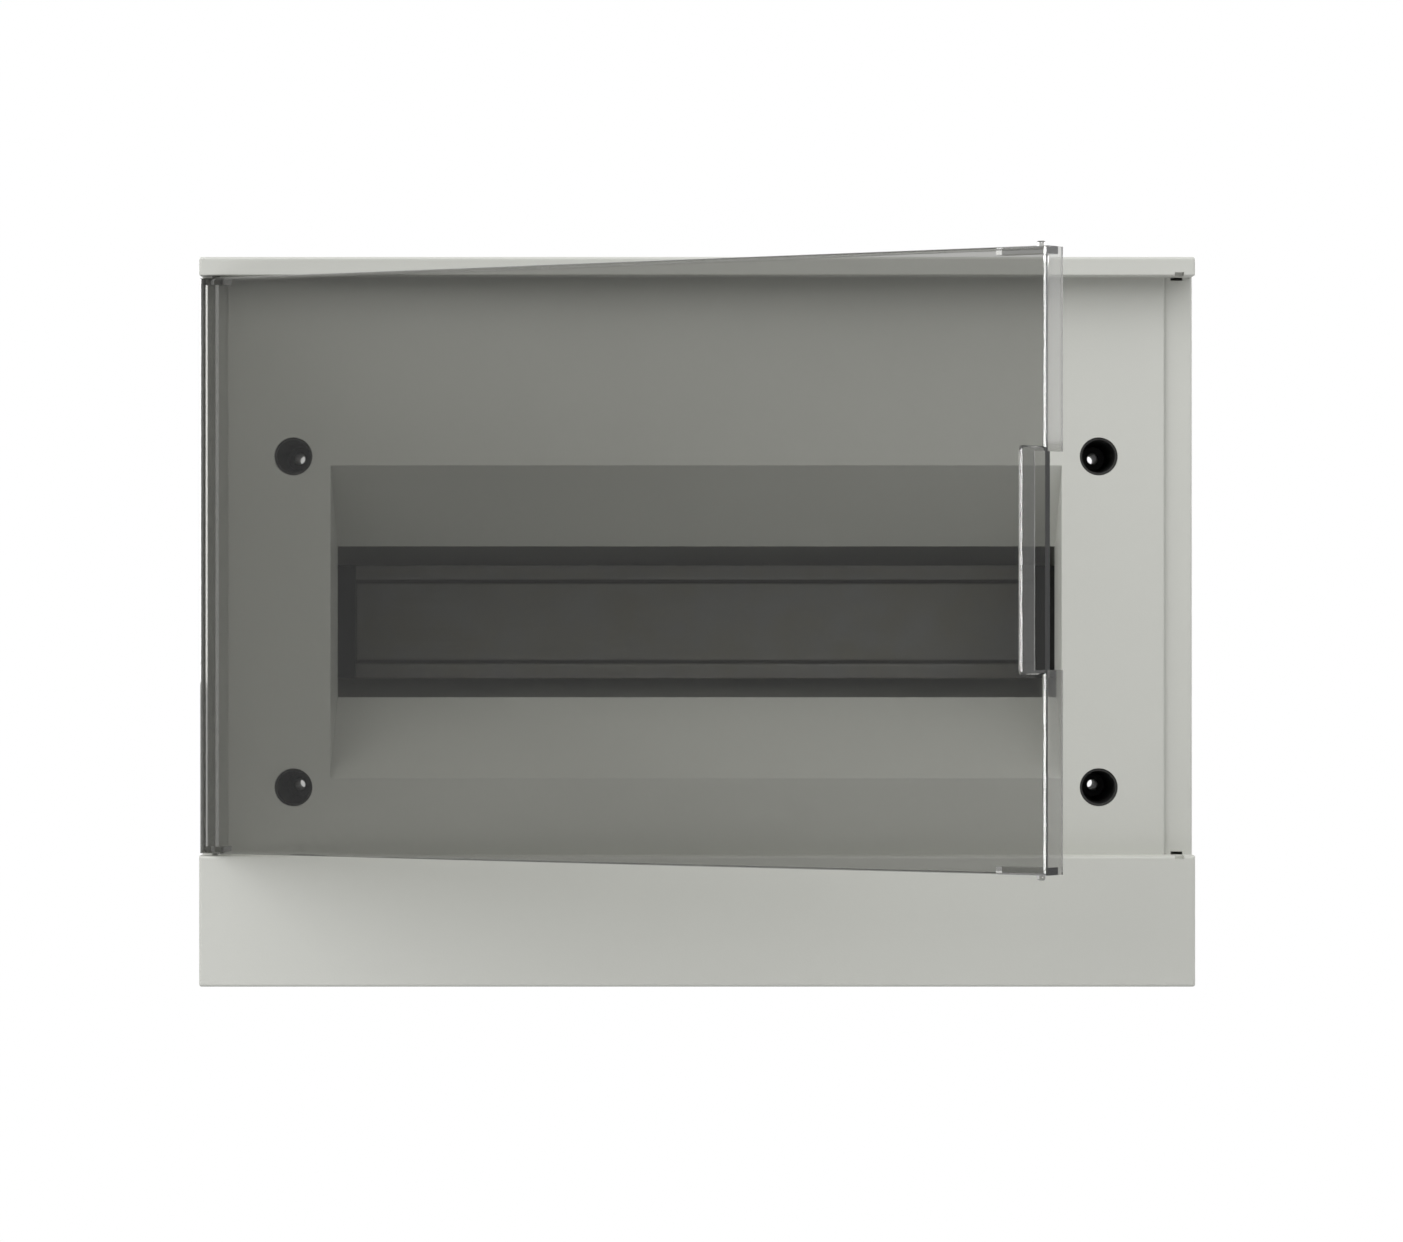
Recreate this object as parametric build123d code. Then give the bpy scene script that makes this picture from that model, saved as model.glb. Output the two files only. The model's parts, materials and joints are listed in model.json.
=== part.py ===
from build123d import *
import os

# Surface-mount distribution board. Millimetres, X to the right, Y towards the wall, Z up.
# The wall plane is Y = 0, and the origin is the centre of the wall fixing.

# Device row that the board is made for
modules = 12
module_width = 18.0
row_play = 1.0

# Overall size, and the mouldings that the back box and the front cover share
side_margin = 40.0
height = 217.6
depth = 97.0
wall = 2.0
back_wall = 2.4
box_depth = 46.0
lap_length = 3.0
lap_gap = 0.1
edge_round = 0.8
seam_chamfer = 0.4

# Door bay of the front cover: ledge above, apron below, raised panel between two lower side strips
ledge_height = 5.55
ledge_round = 0.4
apron_height = 39.0
strip_width = 8.4
strip_depth = 12.5
panel_depth = 11.0
panel_round = 0.5

# Device window: a funnel from its mouth in the panel to the window plane
window_height = 45.8
window_depth = 35.0
mouth_flare = 0.8
mouth_slope = 1.0
funnel_wall = 2.0

# Cover screws: sleeve in a tube behind the panel, seated on a hollow boss of the back box
screw_inset = 28.1
screw_rise = 2.7
screw_hole_d = 11.4
tube_wall = 1.6
tube_length = 14.0
sleeve_gap = 0.1
sleeve_wall = 0.6
sleeve_setback = 0.5
sleeve_flange = 1.5
sleeve_neck_wall = 1.0
sleeve_foot_d = 7.0
sleeve_foot_wall = 1.5
sleeve_reach = 30.0
sleeve_floor = 3.0
screw_bore_d = 3.6
pilot_d = 2.9
pilot_length = 24.0
boss_wall = 1.8
boss_spread = 1.5
boss_rib = 1.6
boss_rib_height = 34.0

# Door, drawn closed and then swung open about its pins
door_side_gap = 0.5
door_end_gap = 0.7
face_thick = 2.5
flange_thick = 1.1
flange_depth = 9.4
hinge_return_length = 8.8
catch_return_length = 16.6
return_thick = 2.1
return_depth = 7.6
hinge_round = 4.0
free_chamfer = 0.5
free_inner_round = 0.7
rim_round = 1.2
hinge_inset = 4.7
hinge_depth = 4.9
pin_d = 2.5
pin_height = 1.5
pin_chamfer = 0.3
pin_clearance = 0.06
pin_end_clearance = 0.2
catch_clearance = 0.15
open_angle = 34.2

# Grip on the door's free edge: a bar in front of the face on two short arms, beside a notch in the flange
grip_height = 62.2
grip_reach = 12.3
grip_bar = 7.2
grip_arm = 1.3
grip_round = 1.0
grip_chamfer = 0.4
grip_back_land = 0.2

# Openings in the side strips behind each pin socket
core_slot_width = 3.5
core_slot_height = 0.9

# Top-hat rail and the two saddles that carry its ends
rail_height = 35.0
rail_depth = 7.5
rail_channel = 27.0
rail_thick = 1.0
rail_bend = 1.2
rail_end_inset = 3.0
rail_standoff = 16.5
saddle_grip = 7.5
saddle_tail = 20.0
saddle_floor = 1.5
saddle_lead = 0.4
saddle_screw_offset = 12.0
saddle_screw_span = 18.0
rail_end_gap = 0.2

# Tapping screws of the saddles and the terminal carriers
tap_d = 3.0
tap_length = 10.0
tap_head_d = 6.0
tap_head_height = 2.2
tap_clearance = 0.05
tap_play = 0.25
counterbore_depth = 3.0
drive_span = 4.2
drive_width = 1.0
drive_depth = 1.2

# Terminal bars: brass bar with cross holes for the wires, clamp screws and a carrier with two ears
terminal_inset = 36.8
way_pitch = 8.8
bar_end = 5.0
bar_height = 9.0
bar_thick = 8.0
wire_hole_d = 4.6
clamp_d = 3.9
clamp_clearance = 0.05
clamp_head_d = 6.2
clamp_head_height = 1.8
clamp_slot_width = 0.9
clamp_slot_depth = 0.9
carrier_plate = 4.0
carrier_lip = 1.6
carrier_lip_height = 3.0
carrier_ear = 11.0
carrier_gap = 0.1
pillar_d = 9.0
pillar_height = 6.0

# Wall fixing: four holes in raised collars
fixing_inset_x = 21.5
fixing_inset_z = 21.8
fixing_hole_d = 5.5
fixing_collar_d = 13.0
fixing_collar_height = 3.0

# Knock-outs for cables in the top and bottom walls of the box
knockout_diameters = [20.0, 25.0, 32.0, 25.0, 20.0]
knockout_pitch = 50.0
knockout_groove = 0.9
knockout_web = 0.8
rear_knockout_width = 44.0
rear_knockout_height = 26.0
rear_knockout_inset = 58.5

# Levels and half sizes that follow from the sizes above
window_width = modules * module_width + row_play
width = window_width + 2 * side_margin
half_w = width / 2
half_h = height / 2
front = -depth
split = -box_depth
bay_top = half_h - ledge_height
bay_bottom = -half_h + apron_height
panel_half = half_w - strip_width
panel_front = front + panel_depth
strip_front = front + strip_depth
window_plane = front + window_depth
mouth_width = window_width + 2 * mouth_flare
mouth_height = window_height + 2 * mouth_slope * (window_depth - panel_depth)
screw_span_x = width - 2 * screw_inset
screw_span_z = mouth_height + 2 * screw_rise
fixing_span_x = width - 2 * fixing_inset_x
fixing_span_z = height - 2 * fixing_inset_z
rear_knockout_span = width - 2 * rear_knockout_inset
floor_level = -back_wall
rooted = floor_level / 2
sleeve_floor_front = panel_front + sleeve_reach
boss_top = sleeve_floor_front + sleeve_floor
rail_front = -rail_standoff
rail_back = rail_front + rail_depth
rail_length = window_width - 2 * rail_end_inset
saddle_back = rail_back + saddle_floor
carrier_back = floor_level - pillar_height
bar_back = carrier_back - carrier_plate
bar_front = bar_back - bar_thick
bar_length = (modules - 1) * way_pitch + 2 * bar_end
terminal_level = half_h - terminal_inset
ear_x = bar_length / 2 + carrier_ear / 2
hinge_x = -half_w + hinge_inset
hinge_y = front + hinge_depth
pin_r = pin_d / 2
socket_depth = pin_height - door_end_gap + pin_end_clearance
overrun = 1.0


def block(x0, x1, y0, y1, z0, z1):
    """Box between two opposite corners."""
    centre = Pos((x0 + x1) / 2, (y0 + y1) / 2, (z0 + z1) / 2)
    return centre * Box(x1 - x0, y1 - y0, z1 - z0)


def rod_x(y, z, radius, x0, x1):
    """Round rod along X."""
    return Pos((x0 + x1) / 2, y, z) * Rot(0, 90, 0) * Cylinder(radius, x1 - x0)


def rod_y(x, z, radius, y0, y1):
    """Round rod along Y."""
    return Pos(x, (y0 + y1) / 2, z) * Rot(90, 0, 0) * Cylinder(radius, y1 - y0)


def rod_z(x, y, radius, z0, z1):
    """Round rod along Z."""
    return Pos(x, y, (z0 + z1) / 2) * Cylinder(radius, z1 - z0)


def turned(x, z, profile):
    """Solid of revolution along Y, from corners given as (radius, y)."""
    face = make_face(Polyline(*profile, close=True))
    return Pos(x, 0, z) * revolve(face, Axis.Y)


def funnel(margin, y0, y1):
    """Window funnel between two depths, with its section grown by a margin on every side."""
    sections = []
    for y in (y0, y1):
        share = (y - panel_front) / (window_plane - panel_front)
        w = mouth_width + share * (window_width - mouth_width) + 2 * margin
        h = mouth_height + share * (window_height - mouth_height) + 2 * margin
        plane = Plane(origin=(0, y, 0), x_dir=(1, 0, 0), z_dir=(0, -1, 0))
        sections.append(plane * Rectangle(w, h))
    return loft(sections)


def corners(span_x, span_z):
    """The four corners of a rectangle about the origin, as (x, z)."""
    return [(sx * span_x / 2, sz * span_z / 2) for sx in (-1, 1) for sz in (-1, 1)]


def edges_on(shape, axis, x=None, y=None, z=None):
    """Straight edges along an axis whose centre has the coordinates given."""
    found = []
    for edge in shape.edges().filter_by(axis):
        centre = edge.center()
        wanted = ((x, centre.X), (y, centre.Y), (z, centre.Z))
        if all(a is None or abs(abs(a) - abs(b)) < 1e-4 and a * b >= 0 for a, b in wanted):
            found.append(edge)
    return found


def rim_ring(y0, y1, outer_inset, inner_inset):
    """Rectangular ring round the rim of the enclosure, between two insets from its outside."""
    outer_x = half_w - outer_inset
    outer_z = half_h - outer_inset
    inner_x = half_w - inner_inset
    inner_z = half_h - inner_inset
    outer = block(-outer_x, outer_x, y0, y1, -outer_z, outer_z)
    return outer - block(-inner_x, inner_x, y0 - overrun, y1 + overrun, -inner_z, inner_z)


def tapping_screw(x, z, seat):
    """Pan-head tapping screw along Y, with its head's underside at the seat and a cross-cut drive."""
    screw = rod_y(x, z, tap_d / 2, seat, seat + tap_length)
    screw += rod_y(x, z, tap_head_d / 2, seat - tap_head_height, seat)
    arm = drive_span / 2
    top = seat - tap_head_height
    screw -= block(x - arm, x + arm, top, top + drive_depth, z - drive_width / 2, z + drive_width / 2)
    screw -= block(x - drive_width / 2, x + drive_width / 2, top, top + drive_depth, z - arm, z + arm)
    return screw


def make_front_cover():
    shell = block(-half_w, half_w, front, split, -half_h, half_h)
    shell -= block(-half_w - overrun, half_w + overrun, front - overrun, strip_front, bay_bottom, bay_top)
    shell += block(-panel_half, panel_half, panel_front, strip_front, bay_bottom, bay_top)
    outer_edges = []
    for side in (-half_w, half_w):
        outer_edges += edges_on(shell, Axis.Z, x=side, y=front)
        outer_edges += edges_on(shell, Axis.Z, x=side, y=strip_front)
    for level in (-half_h, bay_bottom, half_h):
        outer_edges += edges_on(shell, Axis.X, y=front, z=level)
    for side in (-half_w, half_w):
        for level in (-half_h, half_h):
            outer_edges += edges_on(shell, Axis.Y, x=side, z=level)
    shell = fillet(outer_edges, edge_round)
    shell = fillet(edges_on(shell, Axis.X, y=front, z=bay_top), ledge_round)
    shell = chamfer(shell.faces().sort_by(Axis.Y)[-1].edges(), seam_chamfer)
    panel_edges = edges_on(shell, Axis.Z, x=-panel_half, y=panel_front)
    panel_edges += edges_on(shell, Axis.Z, x=panel_half, y=panel_front)
    shell = fillet(panel_edges, panel_round)

    inside_x = half_w - wall
    inside_z = half_h - wall
    hollow = block(-inside_x, inside_x, front + wall, split + overrun, -inside_z, inside_z)
    skin = block(-half_w, half_w, front, strip_front + wall, bay_bottom - wall, bay_top + wall)
    skin -= block(-panel_half + wall, panel_half - wall, panel_front + wall, strip_front + wall + overrun,
                  bay_bottom, bay_top)
    hollow -= skin
    hollow -= funnel(funnel_wall, panel_front, window_plane)
    for x, z in corners(screw_span_x, screw_span_z):
        hollow -= rod_y(x, z, screw_hole_d / 2 + tube_wall, panel_front, panel_front + tube_length)
    cover = shell - hollow
    cover -= funnel(0, panel_front - overrun, window_plane + overrun)
    for x, z in corners(screw_span_x, screw_span_z):
        cover -= rod_y(x, z, screw_hole_d / 2, panel_front - overrun, panel_front + tube_length + overrun)

    lap = lap_length + lap_gap
    cover -= rim_ring(split - lap, split + overrun, wall / 2, wall + overrun)
    return cover - door_sockets()


def door_sockets():
    """Round sockets for the hinge pins, open grooves for the catch pins, and the core slots behind them."""
    cuts = []
    for level, way in ((bay_top, 1), (bay_bottom, -1)):
        end = level + way * socket_depth
        z0, z1 = sorted((level - way * overrun, end))
        cuts.append(rod_z(hinge_x, hinge_y, pin_r + pin_clearance, z0, z1))
        half = pin_r + catch_clearance
        cuts.append(block(-hinge_x - half, -hinge_x + half, front - overrun, hinge_y + half, z0, z1))
        s0, s1 = sorted((level, level - way * core_slot_height))
        for x in (hinge_x, -hinge_x):
            cuts.append(block(x - core_slot_width / 2, x + core_slot_width / 2,
                              strip_front - overrun, strip_front + wall + overrun, s0, s1))
    return cuts


def make_back_box():
    tray = block(-half_w, half_w, split, 0, -half_h, half_h)
    corner_edges = []
    for side in (-half_w, half_w):
        for level in (-half_h, half_h):
            corner_edges += edges_on(tray, Axis.Y, x=side, z=level)
    tray = fillet(corner_edges, edge_round)
    tray = chamfer(tray.faces().sort_by(Axis.Y)[0].edges(), seam_chamfer)
    inside_x = half_w - wall
    inside_z = half_h - wall
    tray -= block(-inside_x, inside_x, split - overrun, floor_level, -inside_z, inside_z)
    tray += rim_ring(split - lap_length, split + overrun, wall / 2 + lap_gap, wall)

    boss_r = sleeve_foot_d / 2 + sleeve_foot_wall
    core_top = boss_top + pilot_length
    core_r = pilot_d / 2 + boss_wall
    for x, z in corners(screw_span_x, screw_span_z):
        tray += turned(x, z, [(0, boss_top), (boss_r, boss_top), (boss_r + boss_spread, rooted),
                              (0, rooted)])
        side = half_w - wall / 2
        x0, x1 = sorted((x, side if x > 0 else -side))
        tray += block(x0, x1, floor_level - boss_rib_height, rooted, z - boss_rib / 2, z + boss_rib / 2)
    for x, z in corners(screw_span_x, screw_span_z):
        tray -= rod_y(x, z, pilot_d / 2, boss_top - overrun, core_top + overrun)
        tray -= turned(x, z, [(0, core_top), (core_r, core_top), (core_r + boss_spread, overrun),
                              (0, overrun)])

    for way in (-1, 1):
        x0, x1 = sorted((way * (rail_length / 2 - saddle_grip), way * (rail_length / 2 + saddle_tail)))
        tray += block(x0, x1, saddle_back, rooted, -rail_height / 2, rail_height / 2)
    for level in (-terminal_level, terminal_level):
        for x in (-ear_x, ear_x):
            tray += rod_y(x, level, pillar_d / 2, carrier_back, rooted)
    for x, z in saddle_screw_points():
        tray -= screw_pilot(x, z, saddle_screw_seat())
    for x, z in carrier_screw_points():
        tray -= screw_pilot(x, z, bar_back)

    collar_top = floor_level - fixing_collar_height
    for x, z in corners(fixing_span_x, fixing_span_z):
        tray += rod_y(x, z, fixing_collar_d / 2, collar_top, rooted)
    for x, z in corners(fixing_span_x, fixing_span_z):
        tray -= rod_y(x, z, fixing_hole_d / 2, collar_top - overrun, overrun)
    return tray - knockout_grooves()


def knockout_grooves():
    """Grooves in the outside of the box, round in the top and bottom walls and square-cut in the back,
    which leave a thin web to break."""
    cuts = []
    middle = split / 2
    first = -(len(knockout_diameters) - 1) / 2 * knockout_pitch
    for index, diameter in enumerate(knockout_diameters):
        x = first + index * knockout_pitch
        for way in (-1, 1):
            z0, z1 = sorted((way * (half_h - wall + knockout_web), way * (half_h + overrun)))
            ring = rod_z(x, middle, diameter / 2, z0, z1)
            cuts.append(ring - rod_z(x, middle, diameter / 2 - knockout_groove, z0, z1))
    half_x = rear_knockout_width / 2
    half_z = rear_knockout_height / 2
    plug_x = half_x - knockout_groove
    plug_z = half_z - knockout_groove
    for x, z in corners(rear_knockout_span, 2 * terminal_level):
        frame = block(x - half_x, x + half_x, floor_level + knockout_web, overrun, z - half_z, z + half_z)
        frame -= block(x - plug_x, x + plug_x, floor_level, overrun, z - plug_z, z + plug_z)
        cuts.append(frame)
    return cuts


def saddle_screw_points():
    """Places of the saddle screws, as (x, z)."""
    return corners(rail_length + 2 * saddle_screw_offset, saddle_screw_span)


def saddle_screw_seat():
    return rail_front + counterbore_depth


def carrier_screw_points():
    """Places of the carrier screws, as (x, z)."""
    return corners(2 * ear_x, 2 * terminal_level)


def screw_pilot(x, z, seat):
    """Blind hole for a tapping screw whose head sits at the seat."""
    return rod_y(x, z, tap_d / 2 + tap_clearance, seat, seat + tap_length + tap_clearance)


def make_sleeve(x, z):
    """Black sleeve: a tapered well with a floor and a screw bore, held by its flange behind the tube."""
    barrel_r = screw_hole_d / 2 - sleeve_gap
    mouth = panel_front + sleeve_setback
    tube_end = panel_front + tube_length
    foot_r = sleeve_foot_d / 2
    neck = tube_end + sleeve_flange
    neck_r = barrel_r - sleeve_wall + sleeve_neck_wall / 2
    profile = [
        (screw_bore_d / 2, sleeve_floor_front),
        (foot_r, sleeve_floor_front),
        (barrel_r - sleeve_wall, mouth),
        (barrel_r, mouth),
        (barrel_r, tube_end),
        (screw_hole_d / 2 + tube_wall, tube_end),
        (screw_hole_d / 2 + tube_wall, neck),
        (neck_r, neck),
        (foot_r + sleeve_foot_wall, boss_top),
        (screw_bore_d / 2, boss_top),
    ]
    return turned(x, z, profile)


def make_rail():
    """Top-hat rail bent from strip, open to the front."""
    half = rail_height / 2
    channel = rail_channel / 2
    inner = channel - rail_thick
    web = rail_back - rail_thick
    line = FilletPolyline((rail_front, -half), (rail_front, -inner), (web, -inner), (web, inner),
                          (rail_front, inner), (rail_front, half), radius=rail_bend)
    outline = offset(line, amount=rail_thick, side=Side.RIGHT)
    face = Plane.YZ * make_face(outline)
    return Pos(-rail_length / 2, 0, 0) * extrude(face, rail_length)


def make_saddle(way):
    """Moulded saddle with a hat-shaped seat for one rail end and two counterbored screw holes."""
    end = rail_length / 2
    seat_end = end + rail_end_gap
    inner = end - saddle_grip
    half = rail_height / 2
    saddle = block(inner, end + saddle_tail, rail_front, saddle_back, -half, half)
    saddle -= block(inner - overrun, seat_end, rail_front - overrun, rail_front + rail_thick,
                    -half - overrun, half + overrun)
    channel = rail_channel / 2
    saddle -= block(inner - overrun, seat_end, rail_front - overrun, rail_back, -channel, channel)
    jaws = edges_on(saddle, Axis.X, y=rail_front + rail_thick, z=-channel)
    jaws += edges_on(saddle, Axis.X, y=rail_front + rail_thick, z=channel)
    saddle = chamfer(jaws, saddle_lead)
    x = end + saddle_screw_offset
    for z in (-saddle_screw_span / 2, saddle_screw_span / 2):
        saddle -= rod_y(x, z, tap_d / 2 + tap_play, rail_front, saddle_back + overrun)
        saddle -= rod_y(x, z, tap_head_d / 2 + tap_play, rail_front - overrun, saddle_screw_seat())
    return saddle if way > 0 else mirror(saddle, about=Plane.YZ)


def way_places():
    """X of each terminal way along a bar."""
    first = -(modules - 1) / 2 * way_pitch
    return [first + index * way_pitch for index in range(modules)]


def make_bar(level):
    half = bar_height / 2
    bar = block(-bar_length / 2, bar_length / 2, bar_front, bar_back, level - half, level + half)
    middle = (bar_front + bar_back) / 2
    cuts = []
    for x in way_places():
        cuts.append(rod_z(x, middle, wire_hole_d / 2, level - half - overrun, level + half + overrun))
        cuts.append(rod_y(x, level, clamp_d / 2 + clamp_clearance, bar_front - overrun, middle))
    return bar - cuts


def make_clamp_screws(level):
    """Slotted clamp screws of one terminal bar, each a solid of its own."""
    screws = []
    tip = (bar_front + bar_back) / 2 - wire_hole_d / 2
    top = bar_front - clamp_head_height
    for x in way_places():
        screw = rod_y(x, level, clamp_d / 2, bar_front, tip)
        screw += rod_y(x, level, clamp_head_d / 2, top, bar_front)
        screw -= block(x - clamp_head_d, x + clamp_head_d, top - overrun, top + clamp_slot_depth,
                       level - clamp_slot_width / 2, level + clamp_slot_width / 2)
        screws.append(screw.solid())
    return Compound(screws)


def make_carrier(level):
    """Terminal carrier: a plate with two lips that grip the bar, end stops and two screw ears."""
    lip_in = bar_height / 2 + carrier_gap
    half = lip_in + carrier_lip
    end = bar_length / 2 + carrier_gap
    reach = bar_length / 2 + carrier_ear
    carrier = block(-reach, reach, bar_back, carrier_back, level - half, level + half)
    lip_top = bar_back - carrier_lip_height
    carrier += block(-end - carrier_lip, end + carrier_lip, lip_top, bar_back, level - half, level + half)
    carrier -= block(-end, end, lip_top - overrun, bar_back, level - lip_in, level + lip_in)
    for x in (-ear_x, ear_x):
        carrier -= rod_y(x, level, tap_d / 2 + tap_play, bar_back - overrun, carrier_back + overrun)
    return carrier


def make_tapping_screws(points, seat):
    return Compound([tapping_screw(x, z, seat).solid() for x, z in points])


def door_outline(filled):
    """Horizontal section of the closed door: face and side flanges, or the outline the returns fill."""
    left = -half_w + door_side_gap
    right = -left
    back = front + (return_depth if filled else flange_depth)
    inside = front + face_thick
    points = [(left, back), (left, front), (right, front), (right, back)]
    if not filled:
        points += [(right - flange_thick, back), (right - flange_thick, inside),
                   (left + face_thick, inside), (left + face_thick, back)]
    section = make_face(Polyline(*points, close=True))
    rounds = [((left, front), hinge_round)]
    if not filled:
        rounds.append(((left + face_thick, inside), hinge_round - face_thick))
        rounds.append(((right - flange_thick, inside), free_inner_round))
    for (x, y), radius in rounds:
        vertex = section.vertices().sort_by_distance(Vector(x, y, 0))[0]
        section = fillet(vertex, radius)
    vertex = section.vertices().sort_by_distance(Vector(right, front, 0))[0]
    return chamfer(vertex, free_chamfer)


def rim_cut(level, way):
    """Waste outside the quarter round on the front edge of the door's top or bottom."""
    centre_y = front + rim_round
    centre_z = level - way * rim_round
    z0, z1 = sorted((centre_z, level + way * overrun))
    waste = block(-half_w, half_w, front - overrun, centre_y, z0, z1)
    return waste - rod_x(centre_y, centre_z, rim_round, -half_w, half_w)


def make_door():
    """Smoked door: face with side flanges, corner returns with pins, and a grip on the free edge."""
    z0 = bay_bottom + door_end_gap
    z1 = bay_top - door_end_gap
    left = -half_w + door_side_gap
    right = -left
    back = front + flange_depth
    inside = front + face_thick
    middle = (z0 + z1) / 2
    door = Pos(0, 0, z0) * extrude(door_outline(False), z1 - z0)

    filled = Pos(0, 0, z0) * extrude(door_outline(True), z1 - z0)
    for x0, x1 in ((left, left + hinge_return_length), (right - catch_return_length, right)):
        for s0, s1 in ((z0, z0 + return_thick), (z1 - return_thick, z1)):
            door += filled & block(x0, x1, front, back, s0, s1)
    door -= [rim_cut(z0, -1), rim_cut(z1, 1)]

    grip0 = middle - grip_height / 2
    grip1 = middle + grip_height / 2
    notch = right - flange_thick - free_inner_round
    door -= block(notch, right + overrun, inside, back + overrun, grip0 + grip_arm, grip1 - grip_arm)
    grip_front = front - grip_reach
    grip = block(right - flange_thick, right, grip_front, inside, grip0, grip1)
    grip = fillet(edges_on(grip, Axis.X, y=grip_front), grip_round)
    grip = chamfer(edges_on(grip, Axis.Z, y=grip_front), grip_chamfer)
    grip_back = grip_front + grip_bar
    grip -= block(notch, right + overrun, grip_back, front, grip0 + grip_arm, grip1 - grip_arm)
    grip = fillet(edges_on(grip, Axis.Z, y=grip_back), (flange_thick - grip_back_land) / 2)
    door += grip

    for x in (hinge_x, -hinge_x):
        pin = rod_z(x, hinge_y, pin_r, z1 - return_thick / 2, z1 + pin_height)
        pin = chamfer(pin.edges().group_by(Axis.Z)[-1], pin_chamfer)
        door += pin
        pin = rod_z(x, hinge_y, pin_r, z0 - pin_height, z0 + return_thick / 2)
        pin = chamfer(pin.edges().group_by(Axis.Z)[0], pin_chamfer)
        door += pin
    swing = Pos(hinge_x, hinge_y, 0) * Rot(0, 0, -open_angle) * Pos(-hinge_x, -hinge_y, 0)
    return swing * door


def make_parts():
    parts = {
        "back_box": make_back_box(),
        "front_cover": make_front_cover(),
        "door": make_door(),
        "din_rail": make_rail(),
        "rail_support_left": make_saddle(-1),
        "rail_support_right": make_saddle(1),
        "rail_support_screws": make_tapping_screws(saddle_screw_points(), saddle_screw_seat()),
        "carrier_screws": make_tapping_screws(carrier_screw_points(), bar_back),
    }
    for x, z in corners(screw_span_x, screw_span_z):
        name = "screw_sleeve_" + ("top_" if z > 0 else "bottom_") + ("right" if x > 0 else "left")
        parts[name] = make_sleeve(x, z)
    for name, level in (("neutral", terminal_level), ("earth", -terminal_level)):
        parts[name + "_bar"] = make_bar(level)
        parts[name + "_bar_carrier"] = make_carrier(level)
        parts[name + "_clamp_screws"] = make_clamp_screws(level)
    return parts


os.makedirs("parts", exist_ok=True)
for node, shape in make_parts().items():
    export_step(shape, f"parts/{node}.step")
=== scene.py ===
import json
import math
import bpy
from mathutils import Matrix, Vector


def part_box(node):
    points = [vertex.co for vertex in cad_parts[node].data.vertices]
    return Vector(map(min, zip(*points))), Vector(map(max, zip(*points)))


# Surface-mount distribution board in a plain studio.
# Metres and watts, X to the right, Y towards the wall, Z up.
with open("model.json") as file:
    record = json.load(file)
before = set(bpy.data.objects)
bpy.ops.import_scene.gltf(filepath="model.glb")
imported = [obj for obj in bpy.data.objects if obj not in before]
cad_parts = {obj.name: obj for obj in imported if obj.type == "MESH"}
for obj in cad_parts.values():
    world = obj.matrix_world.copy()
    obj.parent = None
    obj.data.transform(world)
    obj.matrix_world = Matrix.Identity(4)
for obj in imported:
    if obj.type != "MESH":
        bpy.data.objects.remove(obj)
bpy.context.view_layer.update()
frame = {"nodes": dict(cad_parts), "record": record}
nodes = frame["nodes"]
scene = bpy.context.scene

# Plain white, as a shader colour and as the strength at which a background is white
white = (1.0, 1.0, 1.0, 1.0)
white_strength = 1.0

# Camera: square to the front, a long lens about two metres away
camera_distance = 1.87
camera_right = 0.0013
camera_rise = 0.00025
camera_lens = 160.98
camera_sensor = 36.0
camera_clip = (0.05, 50.0)

# Floor: far enough below to stay out of the front view, and white from a distance on
floor_reach = 1.6
floor_level = -0.45
floor_grey = (0.61, 0.63)
fade_start = 0.5
fade_end = 1.3

# Light: what the lamps point at, the sizes that two lamps share, and the strength of the even dome
middle = (0.0, -0.1, 0.0)
door_edge = (0.095, -0.26, 0.016)
front_lamp = (4.4, 4.4)
back_lamp = (1.0, 1.0)
dome_strength = 0.2


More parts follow.
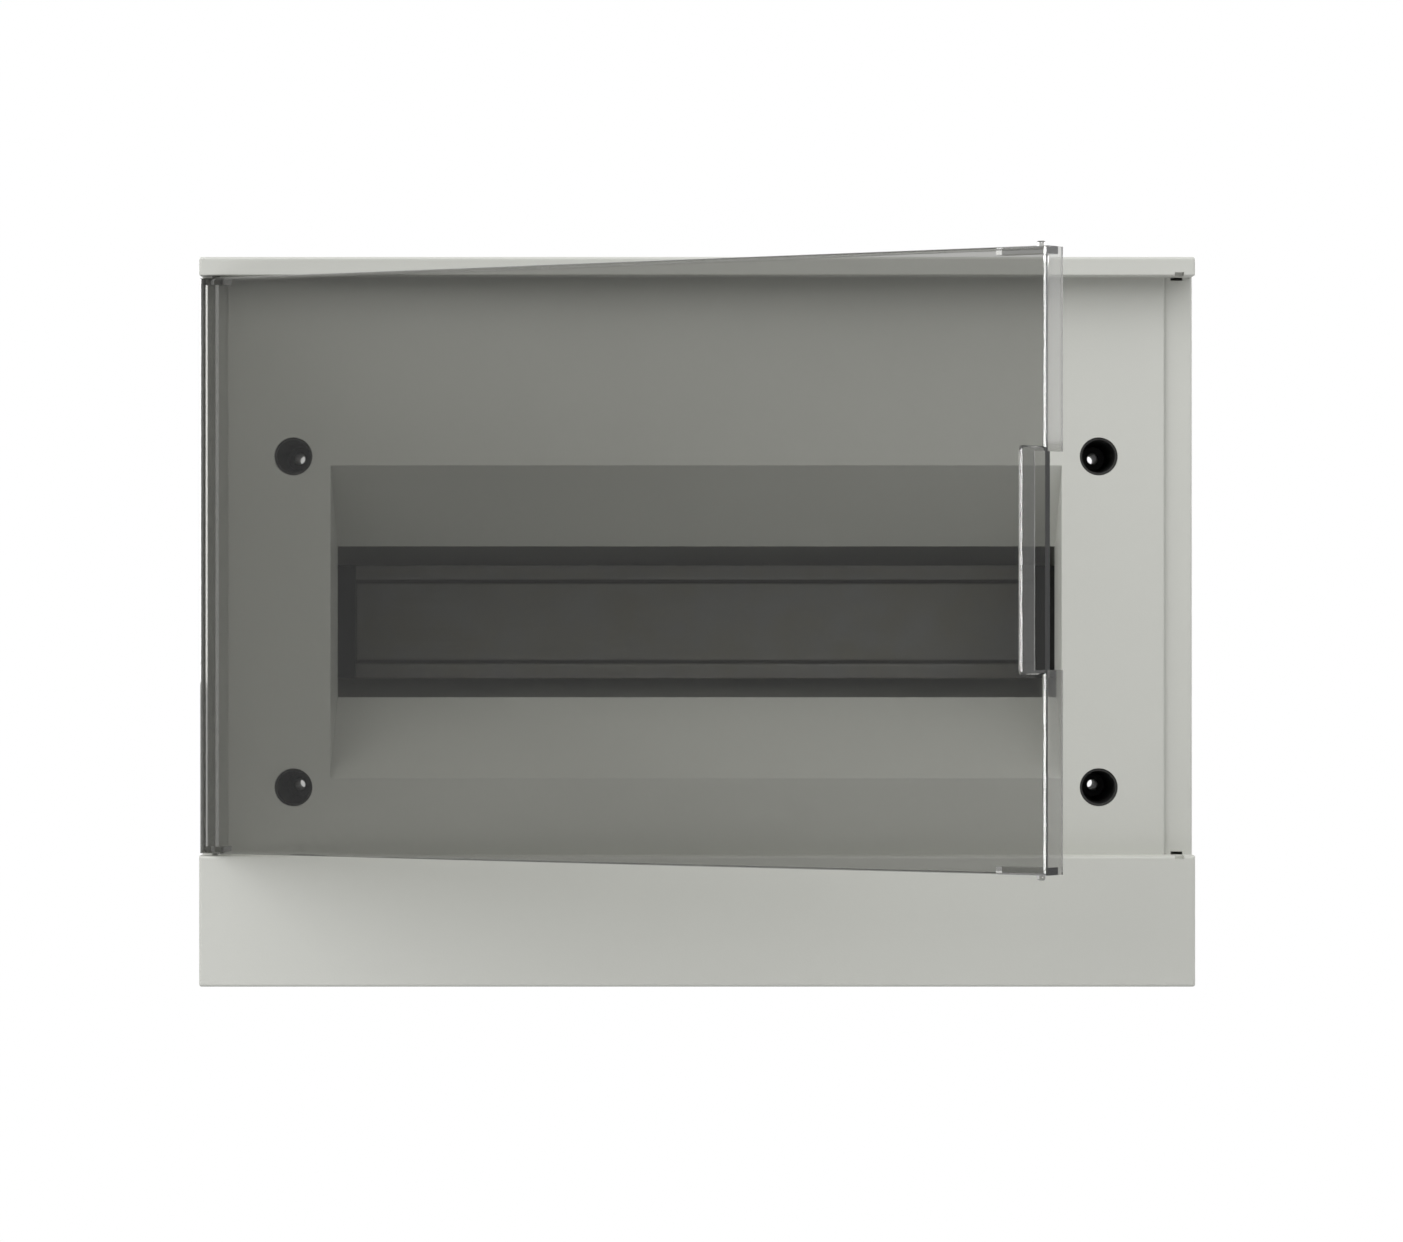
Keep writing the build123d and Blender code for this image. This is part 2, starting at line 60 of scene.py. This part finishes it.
# Materials
class Shader:
    """A node material under construction: its Principled shader and short calls for the nodes around it."""

    def __init__(self, name):
        self.material = bpy.data.materials.new(name)
        self.material.use_nodes = True
        self.tree = self.material.node_tree
        self.principled = self.tree.nodes["Principled BSDF"]
        self.output = self.tree.nodes["Material Output"]
        self.coords = self.node("ShaderNodeTexCoord").outputs["Object"]

    def node(self, kind, **settings):
        made = self.tree.nodes.new(kind)
        for key, value in settings.items():
            setattr(made, key, value)
        return made

    def link(self, source, target):
        self.tree.links.new(source, target)

    def set(self, socket, source):
        self.link(source, self.principled.inputs[socket])

    def plain(self, **values):
        for key, value in values.items():
            self.principled.inputs[key.replace("_", " ")].default_value = value

    def stretched(self, scale):
        mapping = self.node("ShaderNodeMapping")
        mapping.inputs["Scale"].default_value = scale
        self.link(self.coords, mapping.inputs["Vector"])
        return mapping.outputs["Vector"]

    def noise(self, scale, detail=2.0, roughness=0.5, vector=None):
        made = self.node("ShaderNodeTexNoise")
        made.inputs["Scale"].default_value = scale
        made.inputs["Detail"].default_value = detail
        made.inputs["Roughness"].default_value = roughness
        self.link(vector or self.coords, made.inputs["Vector"])
        return made.outputs["Fac"]

    def ramp(self, source, first, second, low=0.3, high=0.7):
        """A value that runs from first to second while the source runs from low to high, as noise does."""
        made = self.node("ShaderNodeMapRange")
        made.inputs["From Min"].default_value = low
        made.inputs["From Max"].default_value = high
        made.inputs["To Min"].default_value = first
        made.inputs["To Max"].default_value = second
        self.link(source, made.inputs["Value"])
        return made.outputs["Result"]

    def colours(self, source, first, second, low=0.32, high=0.68):
        """A colour that runs from first to second while the source runs from low to high, as noise does."""
        made = self.node("ShaderNodeValToRGB")
        stops = zip(made.color_ramp.elements, (low, high), (first, second))
        for stop, place, colour in stops:
            stop.position = place
            stop.color = (*colour, 1.0)
        self.link(source, made.inputs["Fac"])
        return made.outputs["Color"]

    def bump(self, source, strength, distance):
        made = self.node("ShaderNodeBump")
        made.inputs["Strength"].default_value = strength
        made.inputs["Distance"].default_value = distance
        self.link(source, made.inputs["Height"])
        return made.outputs["Normal"]


def seen_directly(tree):
    """One where a ray comes from the camera, a mirror-like surface or the smoked plastic, else zero."""
    rays = tree.nodes.new("ShaderNodeLightPath")
    total = rays.outputs["Is Camera Ray"]
    for kind in ("Is Glossy Ray", "Is Transmission Ray"):
        either = tree.nodes.new("ShaderNodeMath")
        either.operation = "MAXIMUM"
        tree.links.new(total, either.inputs[0])
        tree.links.new(rays.outputs[kind], either.inputs[1])
        total = either.outputs[0]
    return total


def mixed(tree, share, first, second, output):
    """The first shader where share is zero, the second where it is one, on the surface of an output."""
    mix = tree.nodes.new("ShaderNodeMixShader")
    tree.links.new(share, mix.inputs["Fac"])
    tree.links.new(first, mix.inputs[1])
    tree.links.new(second, mix.inputs[2])
    tree.links.new(mix.outputs["Shader"], output.inputs["Surface"])


def moulded(name, colour, spread=0.05, roughness=0.5, grain_size=0.0006, grain=0.12, shine=0.5):
    """Moulded plastic: a fine spark-eroded grain, a little mottling and uneven gloss."""
    s = Shader(name)
    uneven_gloss = 0.05
    grain_height = grain_size / 4
    dark = tuple(c * (1 - spread) for c in colour)
    light = tuple(min(1.0, c * (1 + spread)) for c in colour)
    mottling = s.noise(scale=9.0, detail=3.0, roughness=0.55)
    s.set("Base Color", s.colours(mottling, dark, light))
    fine = s.noise(scale=1.0 / grain_size, detail=3.0, roughness=0.6)
    patch = s.noise(scale=45.0)
    s.set("Roughness", s.ramp(patch, roughness - uneven_gloss, roughness + uneven_gloss))
    s.set("Normal", s.bump(fine, strength=grain, distance=grain_height))
    s.plain(IOR=1.5, Specular_IOR_Level=shine)
    return s.material


def plated(name, colour, lay, roughness):
    """Drawn metal: fine lines along one direction and a faint cloudy film on the bright plating."""
    s = Shader(name)
    film = (0.96, 0.93, 0.84)
    smoothest = roughness - 0.07
    roughest = roughness + 0.09
    clouded = tuple(c * f for c, f in zip(colour, film))
    cloud = s.noise(scale=60.0, detail=4.0, roughness=0.6)
    s.set("Base Color", s.colours(cloud, clouded, colour, low=0.35, high=0.65))
    lines = s.noise(scale=1.0, detail=3.0, roughness=0.6, vector=s.stretched(lay))
    s.set("Roughness", s.ramp(lines, smoothest, roughest))
    s.set("Normal", s.bump(lines, strength=0.12, distance=0.00005))
    s.plain(Metallic=1.0)
    return s.material


def smoked(name):
    """Smoked see-through plastic: tint mostly at the surface, a little in the depth, uneven polish."""
    s = Shader(name)
    darker = (0.545, 0.545, 0.53)
    lighter = (0.56, 0.56, 0.545)
    depth_tint = (0.03, 0.03, 0.015, 1.0)
    depth_density = 100.0
    shadow_tint = (0.60, 0.60, 0.59, 1.0)
    mirror_tint = (0.45, 0.45, 0.45, 1.0)
    smoothest = 0.01
    roughest = 0.035
    flow = s.noise(scale=30.0)
    s.set("Roughness", s.ramp(flow, smoothest, roughest))
    cloud = s.noise(scale=11.0)
    s.set("Base Color", s.colours(cloud, darker, lighter, low=0.3, high=0.7))
    s.plain(IOR=1.5, Transmission_Weight=1.0, Specular_Tint=mirror_tint)
    depth = s.node("ShaderNodeVolumeAbsorption")
    depth.inputs["Color"].default_value = depth_tint
    depth.inputs["Density"].default_value = depth_density
    s.link(depth.outputs["Volume"], s.output.inputs["Volume"])
    path = s.node("ShaderNodeLightPath")
    clear = s.node("ShaderNodeBsdfTransparent")
    clear.inputs["Color"].default_value = shadow_tint
    shadow = path.outputs["Is Shadow Ray"]
    mixed(s.tree, shadow, s.principled.outputs["BSDF"], clear.outputs["BSDF"], s.output)
    return s.material


def paper(name):
    """Pale paper that keeps the object's shadow and fades into the white background further out."""
    s = Shader(name)
    darker, lighter = ((grey, grey, grey) for grey in floor_grey)
    smoothest = 0.85
    roughest = 0.95
    mottling = s.noise(scale=9.0, detail=3.0, roughness=0.55)
    s.set("Base Color", s.colours(mottling, darker, lighter))
    patch = s.noise(scale=45.0)
    s.set("Roughness", s.ramp(patch, smoothest, roughest))
    distance = s.node("ShaderNodeVectorMath", operation="LENGTH")
    s.link(s.coords, distance.inputs[0])
    fade = s.ramp(distance.outputs["Value"], 0.0, 1.0, low=fade_start, high=fade_end)
    share = s.node("ShaderNodeMath", operation="MULTIPLY")
    s.link(fade, share.inputs[0])
    s.link(seen_directly(s.tree), share.inputs[1])
    glow = s.node("ShaderNodeEmission")
    glow.inputs["Color"].default_value = white
    glow.inputs["Strength"].default_value = white_strength
    mixed(s.tree, share.outputs[0], s.principled.outputs["BSDF"], glow.outputs["Emission"], s.output)
    return s.material


# Finish of each piece: the record's material slot names it, and the rail's plating is coloured darker than
# the screws' as painted shade for the deep inside of the box
along_rail = (30.0, 2600.0, 2600.0)
along_bar = (40.0, 2200.0, 2200.0)
all_ways = (900.0, 900.0, 900.0)
finishes = {
    "housing": moulded("housing_plastic", (0.525, 0.53, 0.496), spread=0.012, roughness=0.45),
    # Rail supports coloured near-black: painted shade for the deep inside of the box behind the door
    "support": moulded("support_plastic_painted_shade", (0.05, 0.05, 0.048), grain=0.15, shine=0.3),
    "sleeve": moulded(
        "sleeve_plastic", (0.03, 0.03, 0.029), spread=0.08, grain_size=0.0005, grain=0.15, shine=0.2
    ),
    "neutral_blue": moulded("neutral_plastic", (0.03, 0.11, 0.36), roughness=0.42),
    "earth_green": moulded("earth_plastic", (0.035, 0.20, 0.05), roughness=0.42),
    "plated_steel": plated("screw_steel", (0.60, 0.60, 0.57), all_ways, roughness=0.30),
    "terminal_brass": plated("terminal_brass", (0.72, 0.52, 0.22), along_bar, roughness=0.28),
    "smoked_door": smoked("door_smoke"),
}
# Rail plating darkened well below real galvanised steel: painted shade for the deep, dim inside of the box
rail_steel_painted_shade = plated("rail_steel_painted_shade", (0.25, 0.25, 0.243), along_rail, roughness=0.5)

slots = {part["node"]: part["material_slot"] for part in frame["record"]["subparts"]}
for name, part in nodes.items():
    part.data.materials.clear()
    part.data.materials.append(rail_steel_painted_shade if name == "din_rail" else finishes[slots[name]])


# Camera
cover_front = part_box("front_cover")[0].y
camera_data = bpy.data.cameras.new("front_camera")
camera_data.sensor_width = camera_sensor
camera_data.lens = camera_lens
camera_data.clip_start, camera_data.clip_end = camera_clip
camera = bpy.data.objects.new("front_camera", camera_data)
camera.location = (camera_right, cover_front - camera_distance, camera_rise)
camera.rotation_euler = (math.radians(90), 0, 0)
scene.collection.objects.link(camera)
scene.camera = camera


# Floor
corners = ((-1, -1), (1, -1), (1, 1), (-1, 1))
floor_mesh = bpy.data.meshes.new("floor")
floor_mesh.from_pydata(
    [(x * floor_reach, y * floor_reach, floor_level) for x, y in corners],
    [],
    [(0, 1, 2, 3)],
)
floor_mesh.materials.append(paper("floor_paper"))
floor = bpy.data.objects.new("floor", floor_mesh)
scene.collection.objects.link(floor)


# Light: soft sources above on both sides in front, weaker ones around the object and a faint even dome
def area_light(name, place, aim, size, power):
    data = bpy.data.lights.new(name, "AREA")
    data.shape = "RECTANGLE"
    data.size, data.size_y = size
    data.energy = power
    lamp = bpy.data.objects.new(name, data)
    lamp.location = place
    lamp.rotation_euler = (Vector(aim) - Vector(place)).to_track_quat("-Z", "Y").to_euler()
    scene.collection.objects.link(lamp)
    return lamp


area_light("key_light", place=(-2.4, -2.5, 2.45), aim=middle, size=front_lamp, power=168.0)
area_light("fill_light", place=(2.4, -2.5, 2.45), aim=middle, size=front_lamp, power=84.0)
area_light("low_light", place=(0.0, -0.75, -0.43), aim=middle, size=(1.4, 0.35), power=0.35)
area_light("top_light", place=(0.0, -0.6, 2.0), aim=middle, size=(1.6, 0.8), power=7.0)

# Narrow lamp that draws the bright line along the door's free edge and lights nothing else
edge_light = area_light("edge_light", place=(0.761, -1.715, 0.03), aim=door_edge, size=(0.08, 0.5), power=4.2)
door_only = bpy.data.collections.new("edge_light_receivers")
door_only.objects.link(nodes["door"])
edge_light.light_linking.receiver_collection = door_only

area_light("side_light", place=(1.6, 0.33, 0.565), aim=(0.09, -0.26, 0.565), size=(0.5, 0.94), power=2.8)
area_light("back_left_light", place=(-1.3, 1.5, 0.45), aim=middle, size=back_lamp, power=12.0)
area_light("back_right_light", place=(1.3, 1.5, 0.45), aim=middle, size=back_lamp, power=12.0)


# World: white where it is seen, and an even dome of weaker light on the object
def background(tree, strength):
    made = tree.nodes.new("ShaderNodeBackground")
    made.inputs["Color"].default_value = white
    made.inputs["Strength"].default_value = strength
    return made.outputs["Background"]


world = bpy.data.worlds.new("studio")
world.use_nodes = True
scene.world = world
sky = world.node_tree
sky.nodes.clear()
sky_output = sky.nodes.new("ShaderNodeOutputWorld")
dome = background(sky, dome_strength)
backdrop = background(sky, white_strength)
mixed(sky, seen_directly(sky), dome, backdrop, sky_output)

scene.view_settings.view_transform = "Standard"
